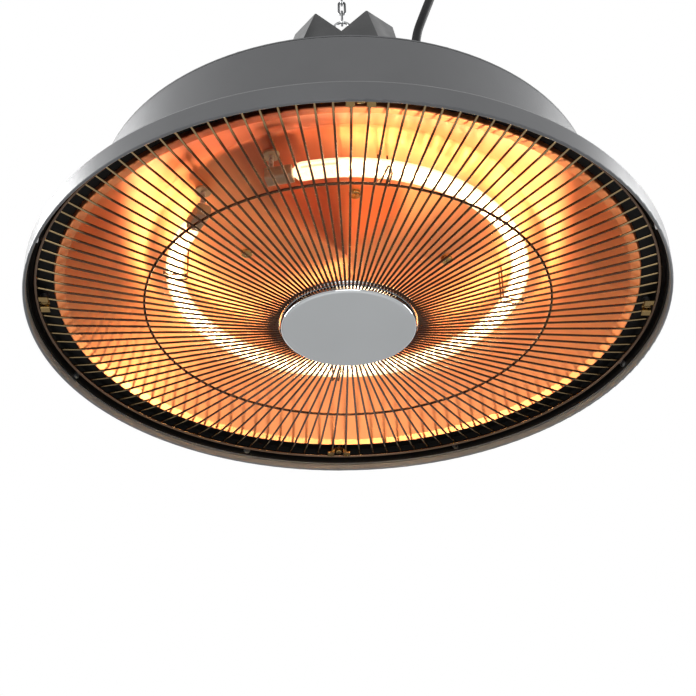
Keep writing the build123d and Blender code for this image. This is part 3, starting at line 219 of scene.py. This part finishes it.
class Shade:
    """A node material around one Principled shader."""

    def __init__(self, name, color, roughness, **sockets):
        self.color = color
        self.roughness = roughness
        self.material = bpy.data.materials.new(name)
        self.material.use_nodes = True
        self.tree = self.material.node_tree
        self.shader = self.tree.nodes["Principled BSDF"]
        self.place = self.tree.nodes.new("ShaderNodeTexCoord").outputs["Object"]
        self.set("Base Color", (*color, 1))
        self.set("Roughness", roughness)
        for socket, value in sockets.items():
            self.set(socket.replace("_", " "), value)

    def set(self, socket, value):
        self.shader.inputs[socket].default_value = value

    def node(self, kind, **values):
        made = self.tree.nodes.new(kind)
        for name, value in values.items():
            made.inputs[name.replace("_", " ")].default_value = value
        return made

    def link(self, source, target):
        self.tree.links.new(source, target)

    def noise(self, scale, detail):
        """Noise in the object's own space, with a scale in marks per metre."""
        noise = self.node("ShaderNodeTexNoise", Scale=scale, Detail=detail)
        self.link(self.place, noise.inputs["Vector"])
        return noise.outputs["Fac"]

    def ramp(self, source, low, high, start=0.35, stop=0.65):
        """Maps a factor to a range of values or colours."""
        ramp = self.node("ShaderNodeValToRGB")
        self.link(source, ramp.inputs["Fac"])
        ends = zip(ramp.color_ramp.elements, (start, stop), (low, high))
        for element, position, value in ends:
            element.position = position
            element.color = (value, value, value, 1) if isinstance(value, float) else (*value, 1)
        return ramp.outputs["Color"]

    def vary_color(self, source, low, high, **span):
        self.link(self.ramp(source, low, high, **span), self.shader.inputs["Base Color"])

    def cloud_color(self, scale, detail, low, high):
        """Clouds between two shares of the material's own colour."""
        self.vary_color(self.noise(scale, detail), scaled(self.color, low), scaled(self.color, high))

    def cloud_roughness(self, scale, detail, less, more):
        """Clouds of roughness, from less than the material's own to more than it."""
        clouds = self.ramp(self.noise(scale, detail), self.roughness - less, self.roughness + more)
        self.link(clouds, self.shader.inputs["Roughness"])

    def bump(self, source, height, strength=1.0):
        """Bump with a real height in metres."""
        before = self.shader.inputs["Normal"].links
        bump = self.node("ShaderNodeBump", Strength=strength, Distance=height)
        self.link(source, bump.inputs["Height"])
        if before:
            self.link(before[0].from_socket, bump.inputs["Normal"])
        self.link(bump.outputs["Normal"], self.shader.inputs["Normal"])

    def grain(self, scale, detail, height):
        self.bump(self.noise(scale, detail), height)

    def blend_shaders(self, factor, other):
        """Shows the other shader where the factor is one."""
        mix = self.node("ShaderNodeMixShader")
        self.link(factor, mix.inputs["Fac"])
        self.link(self.shader.outputs["BSDF"], mix.inputs[1])
        self.link(other.outputs["BSDF"], mix.inputs[2])
        self.link(mix.outputs["Shader"], self.tree.nodes["Material Output"].inputs["Surface"])

    def vector_math(self, operation, source):
        made = self.node("ShaderNodeVectorMath")
        made.operation = operation
        self.link(source, made.inputs[0])
        return made

    def flat_place(self):
        """The place seen along the heater's axis, and the height."""
        split = self.node("ShaderNodeSeparateXYZ")
        self.link(self.place, split.inputs["Vector"])
        flat = self.node("ShaderNodeCombineXYZ")
        self.link(split.outputs["X"], flat.inputs["X"])
        self.link(split.outputs["Y"], flat.inputs["Y"])
        return flat.outputs["Vector"], split.outputs["Z"]

    def around_axis(self):
        """Distance from the heater's axis, and the height."""
        flat, height = self.flat_place()
        return self.vector_math("LENGTH", flat).outputs["Value"], height

    def towards(self, angle):
        """Cosine of the angle around the axis between the place and a direction in degrees."""
        flat = self.flat_place()[0]
        heading = self.vector_math("NORMALIZE", flat).outputs["Vector"]
        dot = self.vector_math("DOT_PRODUCT", heading)
        turn = math.radians(angle)
        dot.inputs[1].default_value = (math.cos(turn), math.sin(turn), 0)
        return dot.outputs["Value"]

    def spun_lines(self, pitch, height):
        """Fine rings around the axis, as a turned or spun sheet has."""
        radius, level = self.around_axis()
        join = self.node("ShaderNodeCombineXYZ")
        self.link(radius, join.inputs["X"])
        self.link(level, join.inputs["Y"])
        noise = self.node("ShaderNodeTexNoise", Scale=1 / pitch, Detail=4.0)
        noise.noise_dimensions = "2D"
        self.link(join.outputs["Vector"], noise.inputs["Vector"])
        self.bump(noise.outputs["Fac"], height)


def paint(name, color, roughness, coat=0.2, shine=0.5):
    shade = Shade(name, color, roughness, Coat_Weight=coat, Coat_Roughness=0.25, Specular_IOR_Level=shine)
    shade.grain(scale=900, detail=2, height=0.00003)
    shade.cloud_color(scale=14, detail=4, low=0.93, high=1.06)
    shade.cloud_roughness(scale=60, detail=5, less=0.05, more=0.06)
    return shade.material


def metal(name, color, roughness):
    shade = Shade(name, color, roughness, Metallic=1.0)
    shade.cloud_roughness(scale=220, detail=5, less=0.06, more=0.07)
    shade.cloud_color(scale=70, detail=5, low=0.86, high=1.0)
    shade.grain(scale=1500, detail=3, height=0.00001)
    return shade.material


def painted_reflection_wire(name, inner, outer, roughness):
    """Wire coloured by its distance from the axis: a painted reflection, dark near the lamp where it
    mirrors the dark and lighter at the outer ends where it mirrors the bright surroundings.
    """
    shade = Shade(name, inner, roughness, Metallic=1.0)
    # Painted reflection: the wire's colour goes from dark near the lamp to lighter at its outer ends
    shade.vary_color(shade.around_axis()[0], inner, outer, **PAINTED_REFLECTION_RADII)
    shade.cloud_roughness(scale=220, detail=5, less=0.05, more=0.06)
    shade.grain(scale=1500, detail=3, height=0.00001)
    return shade.material


def mirror_plate(name, color, roughness):
    """Polished pressed sheet: even, with hair-fine turning lines only."""
    shade = Shade(name, color, roughness, Metallic=1.0)
    shade.cloud_roughness(scale=35, detail=3, less=0.02, more=0.02)
    shade.cloud_color(scale=9, detail=2, low=0.97, high=1.0)
    shade.spun_lines(pitch=0.0012, height=0.0000006)
    return shade.material


def plastic(name, color, roughness, height=0.00003, shine=0.5):
    shade = Shade(name, color, roughness, Specular_IOR_Level=shine)
    shade.cloud_color(scale=50, detail=4, low=0.8, high=1.15)
    shade.cloud_roughness(scale=120, detail=4, less=0.07, more=0.08)
    shade.grain(scale=2400, detail=2, height=height)
    return shade.material


def copper():
    """Spun copper. Its rings draw reflections out along the radius, and a painted shade darkens it at the
    lamp's gap, where the coil gives no light.
    """
    shade = Shade("copper_dish", COPPER, 0.30, Metallic=1.0, Anisotropic=0.92, Anisotropic_Rotation=0.25)
    shade.spun_lines(pitch=0.0009, height=0.0000008)
    shade.cloud_roughness(scale=18, detail=3, less=0.02, more=0.02)
    bright = shade.ramp(shade.noise(scale=7, detail=3), scaled(COPPER, 0.95), scaled(COPPER, 1.03))
    gap_shade_mix = shade.node("ShaderNodeMix")
    gap_shade_mix.data_type = "RGBA"
    inward = {socket.identifier: socket for socket in gap_shade_mix.inputs}
    outward = {socket.identifier: socket for socket in gap_shade_mix.outputs}
    # Painted shade: the dish's colour turns darker towards the lamp's gap
    painted_gap_shade = shade.ramp(shade.towards(GAP_ANGLE), 0.0, 1.0, **GAP_COSINES)
    shade.link(painted_gap_shade, inward["Factor_Float"])
    shade.link(bright, inward["A_Color"])
    inward["B_Color"].default_value = (*COPPER_GAP_SHADE, 1)
    shade.link(outward["Result_Color"], shade.shader.inputs["Base Color"])
    tangent = shade.node("ShaderNodeTangent")
    tangent.direction_type = "RADIAL"
    tangent.axis = "Z"
    shade.link(tangent.outputs["Tangent"], shade.shader.inputs["Tangent"])
    return shade.material


def quartz():
    """Clear tube that the coil's light passes as if it were not there."""
    shade = Shade("quartz_tube", (1.0, 0.97, 0.92), 0.03, IOR=1.45, Transmission_Weight=1.0)
    shade.set("Emission Color", (*LAMP_GLOW, 1))
    shade.set("Emission Strength", TUBE_GLOW)
    shade.grain(scale=160, detail=2, height=0.00001)
    clear = shade.node("ShaderNodeBsdfTransparent")
    paths = shade.node("ShaderNodeLightPath").outputs
    shade.blend_shaders(either(shade.tree, paths["Is Shadow Ray"], paths["Is Diffuse Ray"]), clear)
    return shade.material


def glowing(name, color, strength):
    shade = Shade(name, (0.9, 0.7, 0.45), 0.5, Metallic=0.6)
    shade.set("Emission Strength", strength)
    flicker = shade.ramp(shade.noise(scale=180, detail=2), scaled(color, 0.85), color)
    shade.link(flicker, shade.shader.inputs["Emission Color"])
    return shade.material


def ceramic(name, color):
    shade = Shade(name, color, 0.42, Subsurface_Weight=0.15, Subsurface_Scale=0.002)
    shade.cloud_color(scale=260, detail=5, low=0.78, high=1.0)
    shade.grain(scale=1300, detail=4, height=0.00005)
    return shade.material


def woven(name, color, pitch):
    shade = Shade(name, color, 0.85, Sheen_Weight=0.4, Sheen_Roughness=0.5)
    for direction in ("X", "Z"):
        scale = 1 / (pitch * BANDS_PER_SCALE)
        wave = shade.node("ShaderNodeTexWave", Scale=scale, Distortion=0.4, Detail=1.0)
        wave.bands_direction = direction
        shade.link(shade.place, wave.inputs["Vector"])
        shade.bump(wave.outputs["Fac"], height=0.00012, strength=0.8)
    shade.cloud_color(scale=700, detail=4, low=0.6, high=1.5)
    return shade.material


looks = {
    "housing": paint("housing_paint", (0.128, 0.130, 0.134), 0.38),
    # The carrier is black paint, made darker than paint is so that it stands as painted shade for the gap
    # between the dish and the rim
    "black": paint("black_paint", (0.004, 0.0037, 0.0035), 0.5, 0.0, 0.1),
    "collar": paint("collar_paint", (0.022, 0.023, 0.025), 0.34, 0.15, 0.35),
    "copper": copper(),
    "chrome": metal("chrome", (0.80, 0.81, 0.82), 0.10),
    "disc": mirror_plate("disc_chrome", (0.60, 0.62, 0.64), 0.06),
    "spoke": metal("spoke_steel", (0.12, 0.075, 0.05), 0.18),
    # Guard wire with a painted reflection: dark near the lamp, lighter at the outer ends
    "wire": painted_reflection_wire("guard_wire", (0.060, 0.030, 0.018), (0.29, 0.21, 0.11), 0.18),
    "gold": metal("gold_zinc", (0.30, 0.20, 0.08), 0.26),
    "zinc": metal("zinc", (0.52, 0.53, 0.54), 0.30),
    "steel": metal("hook_steel", (0.46, 0.47, 0.48), 0.20),
    "shield": metal("shield_metal", (0.74, 0.74, 0.73), 0.38),
    "quartz": quartz(),
    "glow": glowing("lamp_glow", LAMP_GLOW, LAMP_STRENGTH),
    "ceramic": ceramic("ceramic", (0.42, 0.25, 0.13)),
    "brass": metal("brass", (0.78, 0.58, 0.28), 0.25),
    "wool": woven("fibre_board", (0.62, 0.60, 0.55), 0.002),
    "plastic": plastic("black_plastic", (0.018, 0.018, 0.019), 0.42),
    "rubber": plastic("cord_rubber", (0.010, 0.010, 0.011), 0.55, 0.00002, 0.25),
    "sleeve": woven("lead_sleeve", (0.32, 0.22, 0.15), 0.0008),
    "strap": woven("strap_fabric", (0.018, 0.018, 0.020), 0.0011),
}

nodes_by_look = {
    "housing": ("housing", "roof", "rim_band"),
    # Carrier: near-black, as painted shade for the gap between the dish and the rim
    "black": ("carrier",),
    "collar": ("collar_left", "collar_right"),
    "copper": ("reflector",),
    "disc": ("guard_disc",),
    "chrome": ("guard_inner_ring",),
    "wire": ("guard_middle_ring", "guard_spokes"),
    "spoke": ("guard_outer_ring", "lamp_tails", "lamp_supports"),
    "gold": ("reflector_screws", "clip_plates", "clip_screws"),
    "shield": ("heat_shield",),
    "quartz": ("lamp_tube",),
    "glow": ("lamp_coil",),
    "ceramic": ("lamp_caps", "lead_bushes", "terminal_block"),
    "brass": ("terminal_screws", "plug_pins"),
    "wool": ("insulation",),
    "plastic": ("gland_body", "gland_nut", "thermal_cutout"),
    "rubber": ("strain_relief", "inner_cable", "plug_body"),
    "sleeve": ("lamp_leads",),
    "strap": ("coil_strap",),
    "steel": (
        "snap_hook",
        "snap_gate",
        "snap_gate_pin",
        "top_ring",
        "upper_link",
        "chain_links",
        "ceiling_plate",
        "ceiling_bail",
    ),
}
look_of = {name: look for look, names in nodes_by_look.items() for name in names}

# Every other node is a zinc-plated fastener or fitting
for name, node in nodes.items():
    node.data.materials.clear()
    node.data.materials.append(looks[look_of.get(name, "zinc")])
cord.data.materials.append(looks["rubber"])

cord_points()[0]


# Floor, world and lamps
def make_floor():
    """Pale floor; it throws less of the lamp's warm light back up than it shows."""
    mesh = bpy.data.meshes.new("floor")
    form = bmesh.new()
    bmesh.ops.create_grid(form, x_segments=1, y_segments=1, size=FLOOR_HALF_SIDE)
    form.to_mesh(mesh)
    form.free()
    floor = bpy.data.objects.new("floor", mesh)
    scene.collection.objects.link(floor)
    floor.location.z = FLOOR_HEIGHT
    shade = Shade("floor", FLOOR_COLOR, 0.7)
    shade.vary_color(shade.noise(scale=3, detail=3), FLOOR_DEEP, FLOOR_LIGHT)
    paths = shade.node("ShaderNodeLightPath").outputs
    pale = shade.node("ShaderNodeMath")
    pale.operation = "MULTIPLY"
    pale.inputs[1].default_value = FLOOR_PALE
    shade.link(paths["Is Camera Ray"], pale.inputs[0])
    shade.link(pale.outputs["Value"], shade.shader.inputs["Emission Strength"])
    bounce = shade.node("ShaderNodeBsdfDiffuse", Color=(*FLOOR_BOUNCE, 1))
    shade.blend_shaders(paths["Is Diffuse Ray"], bounce)
    mesh.materials.append(shade.material)


def make_world():
    """White to the camera and in reflections, dimmer as a light."""
    world = bpy.data.worlds.new("world")
    scene.world = world
    world.use_nodes = True
    tree = world.node_tree
    background = tree.nodes["Background"]
    background.inputs["Color"].default_value = (1, 1, 1, 1)
    paths = tree.nodes.new("ShaderNodeLightPath").outputs
    seen = either(tree, paths["Is Camera Ray"], paths["Is Glossy Ray"], paths["Is Transmission Ray"])
    strength = tree.nodes.new("ShaderNodeMapRange")
    strength.inputs["To Min"].default_value = WORLD_LIGHT
    strength.inputs["To Max"].default_value = WORLD_SEEN
    tree.links.new(seen, strength.inputs["Value"])
    tree.links.new(strength.outputs["Result"], background.inputs["Strength"])


def soft_light(name, place, target, sides, power, color=(1, 1, 1)):
    lamp = bpy.data.lights.new(name, "AREA")
    lamp.shape = "RECTANGLE"
    lamp.size, lamp.size_y = sides
    lamp.energy = power
    lamp.color = color
    holder = bpy.data.objects.new(name, lamp)
    scene.collection.objects.link(holder)
    holder.location = place
    aim = Vector(target) - Vector(place)
    holder.rotation_euler = aim.to_track_quat("-Z", "Y").to_euler()
    return holder


def dish_lights():
    """Warm panels below that light only the dish; its spun sheet draws each out along the radius."""
    lit = bpy.data.collections.new("lit_by_dish_panels")
    lit.objects.link(nodes["reflector"])
    for name, direction, power in DISH_PANELS:
        place = Vector(DISH_CROWN) + Vector(direction).normalized() * DISH_PANEL_REACH
        holder = soft_light(name, place, DISH_CROWN, DISH_PANEL_SIDES, power, DISH_PANEL_COLOR)
        holder.light_linking.receiver_collection = lit


make_floor()
make_world()
for name, place, sides, power in PANELS:
    soft_light(name, place, PANEL_TARGET, sides, power)
dish_lights()
